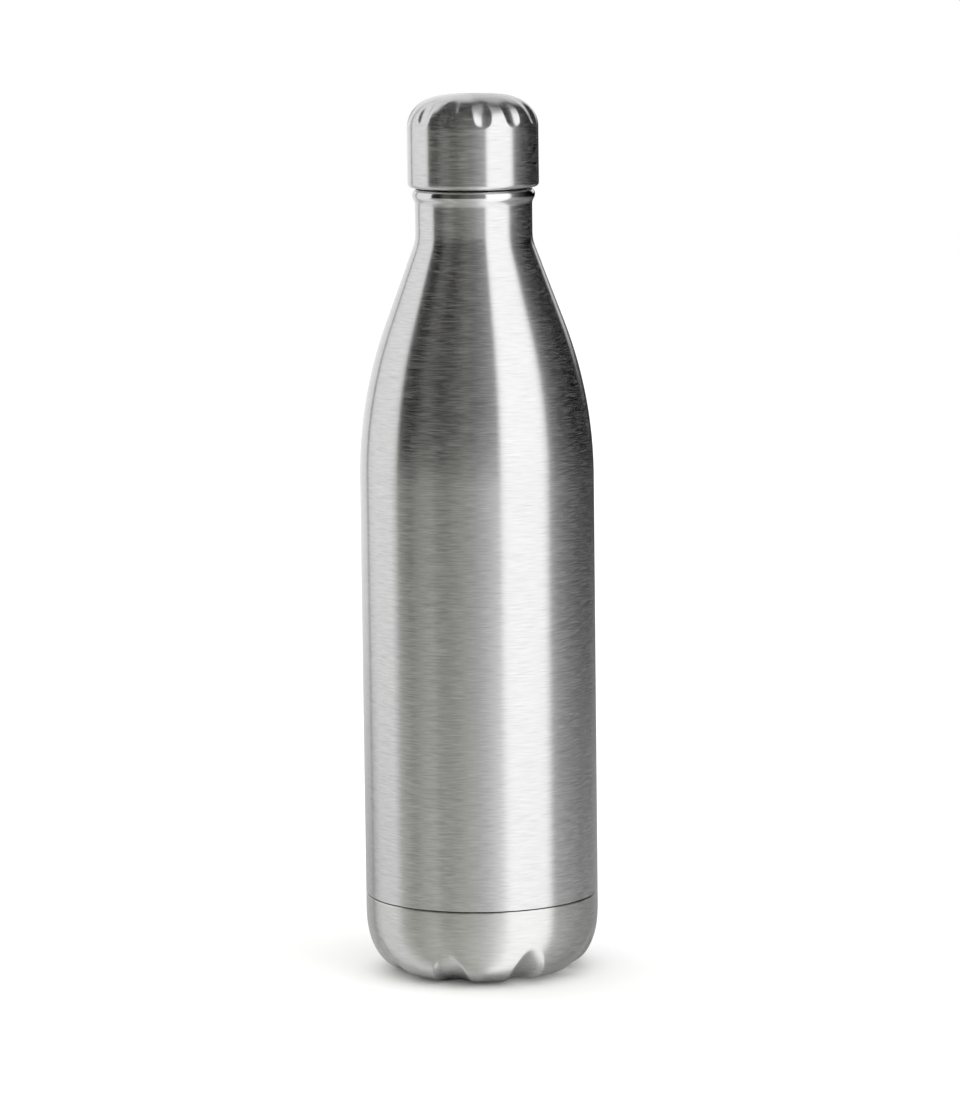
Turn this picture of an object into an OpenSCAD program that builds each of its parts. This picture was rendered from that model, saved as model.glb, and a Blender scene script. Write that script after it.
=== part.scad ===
// Insulated water bottle: a vacuum flask of stainless steel with a screw cap.
// Millimetres, +Z up. The origin is the centre of the bottle on the ground it stands on.

/* [Barrel and shoulder] */
// Outside diameter of the barrel
body_d = 80.7; // [80:0.1:81.4]
// Height at which the barrel starts to curve into the shoulder
barrel_top_z = 172.8; // [165:0.2:178]
// Radius of the long shoulder curve, seen from the side
shoulder_r = 152; // [146:1:158]
// Angle at which the shoulder curve ends and the straight cone to the neck starts
shoulder_angle = 20.6; // [20:0.1:21.4]
// Sheet thickness of the outer wall, the outer bottom, the base cup and the cap
shell_t = 0.5; // [0.4:0.05:0.6]

/* [Neck] */
// Outside diameter of the neck
neck_d = 40.2; // [39.8:0.1:40.8]
// Radius of the hollow curve between the shoulder cone and the neck
neck_fillet_r = 13; // [10:1:15]
// Height of the middle of the polished bead
bead_z = 269.9; // [269.6:0.1:270.1]
// How far the bead stands out from the neck
bead_proud = 1.0; // [0.8:0.1:1.1]
// Outside diameter of the mouth, inside the cap's skirt
mouth_d = 37.2; // [37:0.1:37.6]
// Height of the lip that one drinks from
lip_z = 285.8; // [285:0.1:286]

/* [Base cup] */
// Height of the seam between the barrel and the base cup
seam_z = 27.5; // [27:0.1:29]
// Open width of the groove at the seam
seam_gap = 0.3; // [0.2:0.1:0.5]
// Radius at which the base cup starts to curve up from the ground
foot_r = 21.5; // [21:0.5:23]
// Height at which the base cup's corner runs into the barrel
corner_h = 23.5; // [23:0.5:25]
// Number of dents round the base cup
base_dents = 8; // [6:1:8]
// Radius of the round punch that presses a base dent
base_punch_r = 13; // [11:0.5:14]
// Angle of the first base dent, from +X
base_clock = 26; // [0:1:45]

/* [Liner] */
// Outside diameter of the liner's barrel
liner_d = 72.8; // [71:0.2:74]
// Sheet thickness of the liner and its bottom
liner_t = 0.4; // [0.3:0.05:0.5]
// Inside diameter of the throat below the thread
throat_d = 28.4; // [28.2:0.1:28.8]
// Height of the ledge in the neck, the seat that the seal is pressed on
ledge_z = 265.5; // [265:0.1:265.8]

/* [Cap] */
// Outside diameter of the cap
cap_d = 45; // [44.8:0.1:46]
// Height of the cap's lower edge
cap_z = 272.5; // [272.3:0.1:272.7]
// Height of the cap
cap_h = 31.7; // [31.3:0.1:32.2]
// Number of finger dents round the top of the cap
cap_dents = 12; // [8:1:12]
// Radius of the round punch that presses a finger dent
cap_punch_r = 9; // [7:0.5:10]
// Angle of the first finger dent, from +X, when the cap is screwed home
cap_clock = 9.2; // [0:0.2:30]

/* [Thread] */
// Rise of the cap in one turn
pitch = 4; // [3.6:0.2:4.4]
// Turns of thread inside the neck
neck_turns = 2.5; // [2:0.25:2.5]
// Turns of thread on the stopper
stopper_turns = 3; // [2:0.25:3]

/* [Hidden] */

$fn = 96;
arc_steps = 16;
corner_steps = 14;
dome_steps = 6;
// Gap between two pieces of one body that rest on each other.
touch = 0.05;

body_r = body_d / 2;
neck_r = neck_d / 2;
mouth_r = mouth_d / 2;
liner_r = liner_d / 2;
throat_r = throat_d / 2;
cap_r = cap_d / 2;
cap_top_z = cap_z + cap_h;

// The collar is the outer wall's lower end, set in so that the base cup slides over it.
bond_t = 0.3;
collar_r = body_r - shell_t - bond_t;
collar_z = 19.5;
outer_bottom_z = 25.5;

// The liner's barrel stands on its own bottom at this height.
liner_seam_z = 36;
thread_bore_r = 16.8;

// Base cup: the ground ring, the raised middle, and the circle that the floor of a dent follows.
land_r = 19;
land_bend_r = 3;
recess_r = 15;
recess_z = 4.5;
corner_power = 2.55;
base_dent_centre = [16.5, 25];
base_dent_floor_r = 25.6;
base_dent_span = [-79, -18];

// Cap: the elliptical corner, the dome that it runs into, the hem, and the circle that the floor of a finger dent
// follows. The dome is a fourth-power curve, and its height is the one at which it meets the corner smoothly.
cap_corner_r = 11;
cap_corner_h = 10.5;
cap_dome_r = 16;
cap_dome_angle = acos((cap_dome_r - cap_corner_r) / (cap_r - cap_corner_r));
cap_dome_h = cap_dome_r / 4 * cap_corner_h / (cap_r - cap_corner_r) / tan(cap_dome_angle);
hem_r = 1.5;
hem_inner_r = 19.8;
cap_dent_centre = [7.9, cap_top_z - 14.2];
cap_dent_floor_r = 14.8;
cap_dent_span = [21.8, 66];

// Screw threads, one ridge in the neck and one on the stopper.
neck_crest_r = 15.6;
neck_thread_z = ledge_z + 5.2;
stopper_r = 15.2;
stopper_crest_r = 16.3;
stopper_thread_z = neck_thread_z - 1.35;

// Stopper: the nose below the seal, the groove that holds the seal, and the spigot in the insert's deck.
nose_r = 13.8;
nose_z = ledge_z - 2.6;
groove_r = 13;
groove_top_z = ledge_z + 3.1;
deck_z = lip_z + 0.5;
deck_top_z = deck_z + 2.5;
spigot_r = 13.5;
spigot_top_z = deck_top_z + 1.5;
plug_bore_r = 11.8;
plug_floor_z = nose_z + 1.8;
plug_lid_t = 1.9;
seal_h = 2.5;
seal_outer_r = 15.3;

function reversed(points) = [for (i = [len(points) - 1:-1:0]) points[i]];

// Points along an arc, from angle a0 to a1.
function arc(centre, r, a0, a1, n = arc_steps) =
    [for (i = [0:n]) let (a = a0 + (a1 - a0) * i / n) centre + r * [cos(a), sin(a)]];

// Points along a quarter of a superellipse, from the side (angle 0) to the top or bottom (90).
function squircle(centre, size, power, n = arc_steps) =
    [for (i = [0:n]) let (a = 90 * i / n)
        [centre.x + size.x * pow(cos(a), 2 / power), centre.y + size.y * pow(sin(a), 2 / power)]];

// Shoulder from the barrel's edge up to the neck: a long bulging curve, a straight cone and a hollow fillet.
// inset is the distance inside the outer surface.
function shoulder(inset, top_r, fillet_r) =
    let (
        bulge_r = shoulder_r - inset,
        bulge_centre = [body_r - shoulder_r, barrel_top_z],
        bulge = arc(bulge_centre, bulge_r, 0, shoulder_angle),
        cone_start = bulge[len(bulge) - 1],
        cone_top_z = cone_start.y + (cone_start.x - top_r) / tan(shoulder_angle),
        fillet_z = cone_top_z + fillet_r * tan(shoulder_angle / 2),
        hollow = arc([top_r + fillet_r, fillet_z], fillet_r, 180 + shoulder_angle, 180)
    )
    concat(bulge, hollow);

// Revolves a wall drawn as its outer path and its inner path, both from the bottom up.
module turned_wall(outer, inner) {
    rotate_extrude()
        polygon(concat(outer, reversed(inner)));
}

module ring(outer_r, inner_r, z0, z1) {
    turned_wall([[outer_r, z0], [outer_r, z1]], [[inner_r, z0], [inner_r, z1]]);
}

module disc(r, z0, z1) {
    translate([0, 0, z0])
        cylinder(r = r, h = z1 - z0);
}

// Curved punch that presses one dent: a round bar bent to the circle of the dent's floor, in the XZ plane.
// span is the pair of angles where the bar starts and ends. grow makes it thicker, for the inner face.
module bent_bar(centre, floor_r, bar_r, span, grow) {
    translate([centre.x, 0, centre.y])
        rotate([90, 0, 0])
            rotate([0, 0, span[0]])
                rotate_extrude(angle = span[1] - span[0])
                    translate([floor_r + bar_r, 0])
                        circle(r = bar_r + grow);
}

module around(count, first_angle) {
    for (i = [0:count - 1])
        rotate([0, 0, first_angle + i * 360 / count])
            children();
}

// Screw ridge as one closed strip round the axis. The ridge is a trapezium that fades out at both ends.
module screw_ridge(root_r, crest_r, root_w, crest_w, z0, turns) {
    steps_per_turn = 36;
    fade_steps = 5;
    steps = round(turns * steps_per_turn);
    section = [for (i = [0:steps])
        let (
            a = 360 * i / steps_per_turn,
            z = z0 + pitch * i / steps_per_turn,
            height = min(1, (i + 0.5) / fade_steps, (steps - i + 0.5) / fade_steps),
            top_r = root_r + (crest_r - root_r) * height
        )
        for (p = [[root_r, -root_w / 2], [top_r, -crest_w / 2], [top_r, crest_w / 2], [root_r, root_w / 2]])
            [p.x * cos(a), p.x * sin(a), z + p.y]
    ];
    outward = crest_r > root_r;
    sides = [for (i = [0:steps - 1]) for (k = [0:3])
        let (q = [4 * i + k, 4 * i + (k + 1) % 4, 4 * i + 4 + (k + 1) % 4, 4 * i + 4 + k])
        for (tri = [[q[0], q[1], q[2]], [q[0], q[2], q[3]]])
            outward ? reversed(tri) : tri];
    ends = [for (tri = [[0, 1, 2], [0, 2, 3]])
        for (e = [0, 1])
            let (t = tri + e * 4 * steps * [1, 1, 1])
            (e == 0) == outward ? t : reversed(t)];
    polyhedron(points = section, faces = [for (f = concat(sides, ends)) reversed(f)]);
}

// ---- Bottle -----------------------------------------------------------------------------------

// Outer wall, one sheet from the collar inside the base cup up to the lip.
module outer_shell() {
    joggle_z = seam_z + seam_gap;
    bead_r = 2.5 * bead_proud;
    bead_centre = [neck_r + bead_proud - bead_r, bead_z];
    root_r = 4;
    root_angle = acos(1 - bead_proud / (bead_r + root_r));
    root_centre = [neck_r + root_r, bead_z - (bead_r + root_r) * sin(root_angle)];
    lip_r = 0.8;
    outer = concat(
        [[collar_r, collar_z], [collar_r, seam_z], [body_r - 0.15, joggle_z], [body_r, joggle_z + 0.15]],
        shoulder(0, neck_r, neck_fillet_r),
        arc(root_centre, root_r, 180, 180 - root_angle, 6),
        arc(bead_centre, bead_r, -root_angle, 75),
        [[mouth_r + 0.4, bead_z + bead_r], [mouth_r, bead_z + bead_r + 0.4]],
        arc([mouth_r - lip_r, lip_z - lip_r], lip_r, 0, 90, 8),
        [[thread_bore_r + liner_t, lip_z]]
    );
    inner = concat(
        [[collar_r - shell_t, collar_z], [collar_r - shell_t, seam_z + 0.25],
         [body_r - shell_t, joggle_z + 0.6]],
        shoulder(shell_t, neck_r - shell_t, neck_fillet_r + shell_t),
        [[neck_r - shell_t, root_centre.y]],
        arc(bead_centre, bead_r - shell_t, -root_angle, 80),
        [[mouth_r - shell_t, bead_z + bead_r - 0.2], [mouth_r - shell_t, lip_z - 1],
         [mouth_r - shell_t - 0.4, lip_z - 0.6], [thread_bore_r + liner_t, lip_z - 0.6]]
    );
    color("silver")
        turned_wall(outer, inner);
}

// Drawn pan that closes the vacuum space. Its dimple holds the pumping port.
dimple_r = 5;
dimple_h = 2.2;
port_r = 1;
module outer_bottom() {
    rim_r = collar_r - shell_t;
    bend_r = 2;
    bend_centre = [rim_r - bend_r, outer_bottom_z - bend_r];
    upper = concat(
        [[rim_r, collar_z + 0.2]],
        arc(bend_centre, bend_r, 0, 90, 8),
        [[dimple_r + 2, outer_bottom_z], [dimple_r, outer_bottom_z + dimple_h],
         [port_r, outer_bottom_z + dimple_h]]
    );
    lower = concat(
        [[rim_r - shell_t, collar_z + 0.2]],
        arc(bend_centre, bend_r - shell_t, 0, 90, 8),
        [[dimple_r + 1.8, outer_bottom_z - shell_t], [dimple_r - 0.2, outer_bottom_z + dimple_h - shell_t],
         [port_r, outer_bottom_z + dimple_h - shell_t]]
    );
    color("gainsboro")
        turned_wall(upper, lower);
}

// Solid that fills the base cup's outline, inset by a distance.
module base_fill(inset) {
    size = [body_r - foot_r - inset, corner_h - inset];
    corner = [for (p = squircle([foot_r, 0], size, corner_power, corner_steps)) [p.x, corner_h - p.y]];
    rotate_extrude()
        polygon(concat(
            [[0, seam_z], [body_r - inset, seam_z]],
            corner,
            arc([land_r, land_bend_r], land_bend_r - inset, -90, -150, 4),
            [[recess_r + 0.4, recess_z - 0.4 + inset], [recess_r - 0.6, recess_z + inset],
             [0, recess_z + inset]]
        ));
}

module base_punches(grow) {
    around(base_dents, base_clock)
        bent_bar(base_dent_centre, base_dent_floor_r, base_punch_r, base_dent_span, grow);
}

// Visible base: a drawn cup with a row of dents round its corner, just above the ground ring.
module base_cup() {
    color("lightgray")
        difference() {
            base_fill(0);
            difference() {
                union() {
                    base_fill(shell_t);
                    disc(body_r - shell_t, seam_z - 1, seam_z + 1);
                }
                base_punches(shell_t);
            }
            base_punches(0);
        }
}

// Ring of adhesive between the collar and the base cup.
module base_bond() {
    color("darkslategray")
        ring(collar_r + bond_t, collar_r, corner_h, seam_z - 0.6);
}

// Inner wall: barrel, shoulder, throat, the ledge for the seal and the screwed mouth.
module inner_liner() {
    inset = body_r - liner_r;
    fillet_r = 8;
    lip_chamfer = 0.25;
    outer = concat(
        [[liner_r, liner_seam_z]],
        shoulder(inset, throat_r + liner_t, fillet_r),
        [[throat_r + liner_t, ledge_z - liner_t], [thread_bore_r + liner_t, ledge_z - liner_t],
         [thread_bore_r + liner_t, lip_z]]
    );
    inner = concat(
        [[liner_r - liner_t, liner_seam_z]],
        shoulder(inset + liner_t, throat_r, fillet_r + liner_t),
        [[throat_r, ledge_z], [thread_bore_r, ledge_z], [thread_bore_r, lip_z - lip_chamfer],
         [thread_bore_r + lip_chamfer, lip_z]]
    );
    color("gainsboro")
        union() {
            turned_wall(outer, inner);
            screw_ridge(thread_bore_r + liner_t / 2, neck_crest_r, 1.7, 0.8, neck_thread_z, neck_turns);
        }
}

// Dished bottom of the liner.
module inner_bottom() {
    bend_r = 6;
    dome_h = 1;
    floor_z = liner_seam_z - bend_r;
    dome_r = liner_r - 3 * bend_r;
    bend_centre = [liner_r - bend_r, liner_seam_z];
    lower = concat(
        [[0, floor_z + dome_h], [dome_r, floor_z + dome_h], [dome_r + bend_r, floor_z]],
        arc(bend_centre, bend_r, -90, 0, 10)
    );
    upper = concat(
        [[0, floor_z + dome_h + liner_t], [dome_r, floor_z + dome_h + liner_t],
         [dome_r + bend_r, floor_z + liner_t]],
        arc(bend_centre, bend_r - liner_t, -90, 0, 10)
    );
    color("gainsboro")
        turned_wall(lower, upper);
}

// Thin metal foil wrapped round the liner to turn radiant heat back.
module reflective_foil() {
    foil_t = 0.15;
    color("peru")
        ring(liner_r + touch + foil_t, liner_r + touch, liner_seam_z + 4, barrel_top_z - 3);
}

// The getter and its clip sit on the outer bottom, off to one side of the dimple.
getter_at = [14, 14, outer_bottom_z];
getter_r = 4;
clip_t = 0.3;

// Getter: a pill that soaks up the gas left in the vacuum space.
module getter_pill() {
    color("dimgray")
        translate(getter_at + [0, 0, clip_t + touch])
            cylinder(r = getter_r, h = 1.7);
}

// Clip that holds the pill on the outer bottom.
module getter_clip() {
    strap = [18, 5, clip_t];
    color("silver")
        translate(getter_at)
            difference() {
                union() {
                    translate([-strap.x / 2, -strap.y / 2, 0])
                        cube(strap);
                    cylinder(r = getter_r + touch + 0.4, h = 2);
                }
                translate([0, 0, clip_t])
                    cylinder(r = getter_r + touch, h = 3);
            }
}

// Glass that seals the pumping port in the outer bottom's dimple.
module port_glass() {
    roof_z = outer_bottom_z + dimple_h - shell_t;
    color("darkseagreen")
        union() {
            disc(dimple_r - 0.8, roof_z - 1.2, roof_z);
            disc(port_r, roof_z - 0.5, roof_z + shell_t + 0.4);
        }
}

// ---- Seal ---------------------------------------------------------------------------------------

// Silicone ring that rests on the ledge in the neck.
module seal_ring() {
    round_r = 0.5;
    z0 = ledge_z + touch;
    color("whitesmoke")
        turned_wall(
            concat(
                [[groove_r + touch, z0]],
                arc([seal_outer_r - round_r, z0 + round_r], round_r, -90, 0, 6),
                arc([seal_outer_r - round_r, z0 + seal_h - round_r], round_r, 0, 90, 6)
            ),
            [[groove_r + touch, z0 + seal_h]]
        );
}

// ---- Cap ----------------------------------------------------------------------------------------

// The cap's edge from the side up to the axis: a quarter ellipse that stops where the dome starts.
function cap_top(inset) =
    let (
        size = [cap_r - cap_corner_r - inset, cap_corner_h - inset],
        centre = [cap_corner_r, cap_top_z - cap_dome_h - cap_corner_h * sin(cap_dome_angle)],
        corner = [for (i = [0:corner_steps])
            let (a = cap_dome_angle * i / corner_steps)
            centre + [size.x * cos(a), size.y * sin(a)]],
        join = corner[corner_steps],
        apex = cap_top_z - inset,
        dome = [for (i = [1:dome_steps])
            let (across = 1 - i / dome_steps)
            [join.x * across, apex - (apex - join.y) * pow(across, 4)]]
    )
    concat(corner, dome);

// Solid that fills the cap's outline above a level, inset by a distance.
module cap_fill(inset, from_z) {
    hem = arc([cap_r - hem_r, from_z + hem_r], hem_r, -90, 0, 8);
    rotate_extrude()
        polygon(concat(
            [[0, from_z]],
            inset == 0 ? hem : [[cap_r - inset, from_z]],
            cap_top(inset)
        ));
}

// Punch for one finger dent, with a round lower end.
module cap_punch(grow) {
    low_r = cap_dent_floor_r + cap_punch_r;
    low = cap_dent_centre + low_r * [cos(cap_dent_span[0]), sin(cap_dent_span[0])];
    bent_bar(cap_dent_centre, cap_dent_floor_r, cap_punch_r, cap_dent_span, grow);
    translate([low.x, 0, low.y])
        sphere(r = cap_punch_r + grow);
}

// Presses the dents into the children one after another, because the punches themselves overlap.
module pressed(dents, grow) {
    if (dents == 0)
        children();
    else
        difference() {
            pressed(dents - 1, grow)
                children();
            rotate([0, 0, cap_clock + dents * 360 / cap_dents])
                cap_punch(grow);
        }
}

// Steel cap with a dent for each fingertip and a hem that curls in under the insert.
module cap_shell() {
    color("silver")
        difference() {
            pressed(cap_dents, 0)
                cap_fill(0, cap_z);
            pressed(cap_dents, shell_t)
                cap_fill(shell_t, cap_z + shell_t);
            disc(hem_inner_r, cap_z - 1, cap_z + 1);
        }
}

// Plastic insert that fills the steel cap: a skirt round the mouth and a deck over it.
module cap_insert() {
    skirt_r = cap_r - shell_t - 0.1;
    skirt_inner_r = mouth_r + 0.6;
    hole_r = spigot_r + touch;
    skirt_z = cap_z + shell_t + touch;
    color("whitesmoke")
        turned_wall(
            [[skirt_r - 0.4, skirt_z], [skirt_r, skirt_z + 0.4], [skirt_r, deck_top_z], [hole_r, deck_top_z]],
            [[skirt_inner_r, skirt_z], [skirt_inner_r, deck_z], [hole_r, deck_z]]
        );
}

// Ring of adhesive that holds the insert in the steel cap.
module cap_bond() {
    color("darkslategray")
        ring(cap_r - shell_t - touch, cap_r - 3, deck_top_z, deck_top_z + 1.4);
}

// Hollow screwed stopper with a groove for the seal.
module stopper_plug() {
    shoulder_z = deck_z - touch;
    edge = 0.4;
    color("whitesmoke")
        difference() {
            union() {
                rotate_extrude()
                    polygon([
                        [0, nose_z], [nose_r - edge, nose_z], [nose_r, nose_z + edge], [nose_r, ledge_z],
                        [groove_r, ledge_z], [groove_r, groove_top_z], [stopper_r, groove_top_z],
                        [stopper_r, shoulder_z], [spigot_r, shoulder_z], [spigot_r, spigot_top_z],
                        [0, spigot_top_z]
                    ]);
                screw_ridge(stopper_r - 0.2, stopper_crest_r, 1.8, 0.9, stopper_thread_z, stopper_turns);
            }
            disc(plug_bore_r, plug_floor_z, spigot_top_z + 1);
        }
}

// Lid that shuts the foam into the stopper.
module plug_lid() {
    color("whitesmoke")
        disc(plug_bore_r - touch, spigot_top_z - plug_lid_t, spigot_top_z);
}

// Foam inside the stopper.
module plug_foam() {
    color("khaki")
        disc(plug_bore_r - touch, plug_floor_z + touch, spigot_top_z - plug_lid_t - touch);
}

// Foam pad between the stopper and the top of the steel cap.
module cap_foam() {
    pad_r = 18.5;
    round_r = cap_dent_floor_r - 1.3;
    start = acos((pad_r - cap_dent_centre.x) / round_r);
    rim = arc(cap_dent_centre, round_r, start, 78, 12);
    color("khaki")
        rotate_extrude()
            polygon(concat(
                [[0, spigot_top_z + touch], [pad_r, spigot_top_z + touch]],
                rim,
                [[0, rim[len(rim) - 1].y]]
            ));
}

outer_shell();
outer_bottom();
base_cup();
base_bond();
inner_liner();
inner_bottom();
reflective_foil();
getter_pill();
getter_clip();
port_glass();
seal_ring();
cap_shell();
cap_insert();
cap_bond();
stopper_plug();
plug_lid();
plug_foam();
cap_foam();
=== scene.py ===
"""Looks of the insulated water bottle: smooth meshes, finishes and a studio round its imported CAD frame."""
import math

import bpy
import bmesh
import numpy as np
from mathutils import Matrix, Vector


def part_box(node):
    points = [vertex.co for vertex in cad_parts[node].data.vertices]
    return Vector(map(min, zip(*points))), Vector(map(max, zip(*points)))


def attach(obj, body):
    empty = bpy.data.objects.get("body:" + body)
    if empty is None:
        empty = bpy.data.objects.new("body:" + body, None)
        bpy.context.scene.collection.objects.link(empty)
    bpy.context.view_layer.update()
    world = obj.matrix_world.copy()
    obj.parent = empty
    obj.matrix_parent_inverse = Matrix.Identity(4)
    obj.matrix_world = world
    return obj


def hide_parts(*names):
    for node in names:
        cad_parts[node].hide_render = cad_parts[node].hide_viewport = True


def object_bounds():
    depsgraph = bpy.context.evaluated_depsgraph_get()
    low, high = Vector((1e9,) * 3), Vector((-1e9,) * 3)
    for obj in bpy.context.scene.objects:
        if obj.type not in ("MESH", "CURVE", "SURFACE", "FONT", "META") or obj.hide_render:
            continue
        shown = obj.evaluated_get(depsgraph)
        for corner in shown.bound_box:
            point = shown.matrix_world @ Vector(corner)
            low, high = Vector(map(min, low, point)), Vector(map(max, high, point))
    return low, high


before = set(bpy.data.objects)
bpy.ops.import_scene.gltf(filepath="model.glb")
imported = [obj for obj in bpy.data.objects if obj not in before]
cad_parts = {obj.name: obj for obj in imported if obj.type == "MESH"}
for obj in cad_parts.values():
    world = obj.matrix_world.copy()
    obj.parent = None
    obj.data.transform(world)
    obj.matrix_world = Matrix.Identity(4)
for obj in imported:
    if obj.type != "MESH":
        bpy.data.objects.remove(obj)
cad_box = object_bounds()

MM = 0.001

# ---- Sizes, in millimetres -------------------------------------------------------------------


def box_mm(node):
    """The lowest and the highest corner of a CAD node."""
    low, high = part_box(node)
    return [v / MM for v in low], [v / MM for v in high]


shell_low, shell_high = box_mm("outer_shell")
cup_high = box_mm("base_cup")[1]
cap_low, cap_high = box_mm("cap_shell")
liner_low, liner_high = box_mm("inner_liner")
seal_low, seal_high = box_mm("seal_ring")
stopper_low, stopper_high = box_mm("stopper_plug")
insert_low, insert_high = box_mm("cap_insert")

# Thickness of the outer sheets and of the liner, and the play between pieces that fit closely.
SHEET = 0.5
LINER_SHEET = 0.4
PLAY = 0.05

# Barrel, shoulder and neck.
BODY_R = shell_high[0]
COLLAR_Z = shell_low[2]
SEAM_Z = cup_high[2]
SEAM_GAP = 0.3
BOND_GAP = 0.3
COLLAR_R = BODY_R - SHEET - BOND_GAP
BARREL_TOP_Z = 172.8
SHOULDER_R = 152.0
SHOULDER_ANGLE = math.radians(20.6)
NECK_R = 20.1
NECK_FILLET_R = 13.0
BEAD_Z = 269.9
BEAD_PROUD = 1.0
BEAD_R = 2.5
BEAD_ROOT_R = 4.0
MOUTH_R = 18.6
LIP_Z = shell_high[2]
LIP_SHEET = 0.6

# Base cup.
FOOT_R = 21.5
CORNER_H = 23.5
CORNER_POWER = 2.55
LAND_R = 19.0
LAND_BEND_R = 3.0
RECESS_R = 15.0
RECESS_Z = 4.5

# Dents of the base. Each dent's floor is an arc in the (r, z) plane, pressed by a round bar bent to that arc:
# the arc's centre and radius, the bar's radius, and the angles between which the bar reaches.
BASE_DENTS = 8
BASE_CLOCK = math.radians(26)
BASE_DENT_CENTRE = (16.5, 25.0)
BASE_DENT_FLOOR_R = 25.6
BASE_BAR_R = 13.0
BASE_BAR_SPAN = np.radians((-79, -18))
# Width over which the edge of any dent is rounded.
DENT_BLEND = 0.35

# Liner.
LINER_R = liner_high[0]
LINER_Z = liner_low[2]
THROAT_R = 14.2
LEDGE_Z = seal_low[2] - PLAY
BORE_R = 16.8
LINER_FILLET_R = 8.0

# Cap.
CAP_R = cap_high[0]
CAP_Z = cap_low[2]
CAP_TOP_Z = cap_high[2]
CAP_CORNER_R = 11.0
CAP_CORNER_H = 10.5
CAP_DOME_R = 16.0
HEM_R = 1.5
HEM_INNER_R = 19.8

# Dents of the cap, as for the base.
CAP_DENTS = 12
CAP_CLOCK = math.radians(9.2)
CAP_DENT_CENTRE = (7.9, CAP_TOP_Z - 14.2)
CAP_DENT_FLOOR_R = 14.8
CAP_BAR_R = 9.0
CAP_BAR_SPAN = np.radians((21.8, 66))

# Thread and stopper. A ridge's widths are at its root and at its crest.
PITCH = 4.0
NECK_CREST_R = 15.6
NECK_THREAD_Z = LEDGE_Z + 5.2
NECK_TURNS = 2.5
NECK_RIDGE_WIDTHS = (1.7, 0.8)
STOPPER_R = 15.2
STOPPER_CREST_R = stopper_high[0]
STOPPER_THREAD_Z = NECK_THREAD_Z - 1.35
STOPPER_TURNS = 3.0
STOPPER_RIDGE_WIDTHS = (1.8, 0.9)
NOSE_R = 13.8
NOSE_Z = stopper_low[2]
GROOVE_R = 13.0
GROOVE_TOP_Z = LEDGE_Z + 3.1
DECK_Z = LIP_Z + 0.5
SPIGOT_R = 13.5
SPIGOT_TOP_Z = stopper_high[2]
PLUG_BORE_R = 11.8
PLUG_FLOOR_Z = NOSE_Z + 1.8

# Columns of a mesh round the axis, and the longest stretch between the rows of a dented or threaded face.
SHELL_COLUMNS = 256
SMALL_COLUMNS = 192
THREAD_COLUMNS = 240
BASE_COLUMNS = 90 * BASE_DENTS
CAP_COLUMNS = 60 * CAP_DENTS
BASE_SPACING = 0.45
CAP_SPACING = 0.35
THREAD_SPACING = 0.12

# ---- Paths of a turned piece -----------------------------------------------------------------


def arc(centre, radius, start, end, steps=16):
    """Points along an arc in the (r, z) plane; the angles are in radians from +r towards +z."""
    angles = np.linspace(start, end, steps + 1)
    return [(centre[0] + radius * math.cos(a), centre[1] + radius * math.sin(a)) for a in angles]


def squircle(centre, size, power, steps=48):
    """Points along a quarter of a superellipse, from the side (angle 0) to the top (90 degrees)."""
    angles = np.linspace(0, math.pi / 2, steps + 1)
    return [
        (
            centre[0] + size[0] * max(math.cos(a), 0) ** (2 / power),
            centre[1] + size[1] * max(math.sin(a), 0) ** (2 / power),
        )
        for a in angles
    ]


def rounded(corners, steps=5):
    """A path through corners (r, z, fillet radius), with each corner rounded by an arc."""
    points = [np.array(c[:2], float) for c in corners]
    path = [tuple(points[0])]
    for i in range(1, len(points) - 1):
        here, radius = points[i], corners[i][2]
        back, ahead = points[i - 1] - here, points[i + 1] - here
        back_len, ahead_len = np.linalg.norm(back), np.linalg.norm(ahead)
        back, ahead = back / back_len, ahead / ahead_len
        half_turn = math.acos(float(np.clip(np.dot(back, ahead), -1, 1))) / 2
        if radius <= 0 or half_turn > math.radians(89):
            path.append(tuple(here))
            continue
        reach = min(radius / math.tan(half_turn), 0.48 * back_len, 0.48 * ahead_len)
        radius = reach * math.tan(half_turn)
        middle = back + ahead
        centre = here + middle / np.linalg.norm(middle) * radius / math.sin(half_turn)
        first, last = here + back * reach - centre, here + ahead * reach - centre
        start = math.atan2(first[1], first[0])
        sweep = (math.atan2(last[1], last[0]) - start + math.pi) % (2 * math.pi) - math.pi
        path += arc(centre, radius, start, start + sweep, steps)
    path.append(tuple(points[-1]))
    return path


def half_turn_rim(outer, inner, side, steps=6):
    """A half circle round a sheet's free edge, from its inner to its outer corner, with both left out."""
    centre = ((outer[0] + inner[0]) / 2, (outer[1] + inner[1]) / 2)
    start = math.atan2(inner[1] - centre[1], inner[0] - centre[0])
    return arc(centre, math.dist(outer, inner) / 2, start, start - side * math.pi, steps)[1:-1]


def resampled(path, spacing):
    """The same path with extra points, so that no stretch is longer than spacing."""
    points = [path[0]]
    for a, b in zip(path, path[1:]):
        count = max(1, math.ceil(math.dist(a, b) / spacing))
        for k in range(1, count + 1):
            points.append((a[0] + (b[0] - a[0]) * k / count, a[1] + (b[1] - a[1]) * k / count))
    return points


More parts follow.
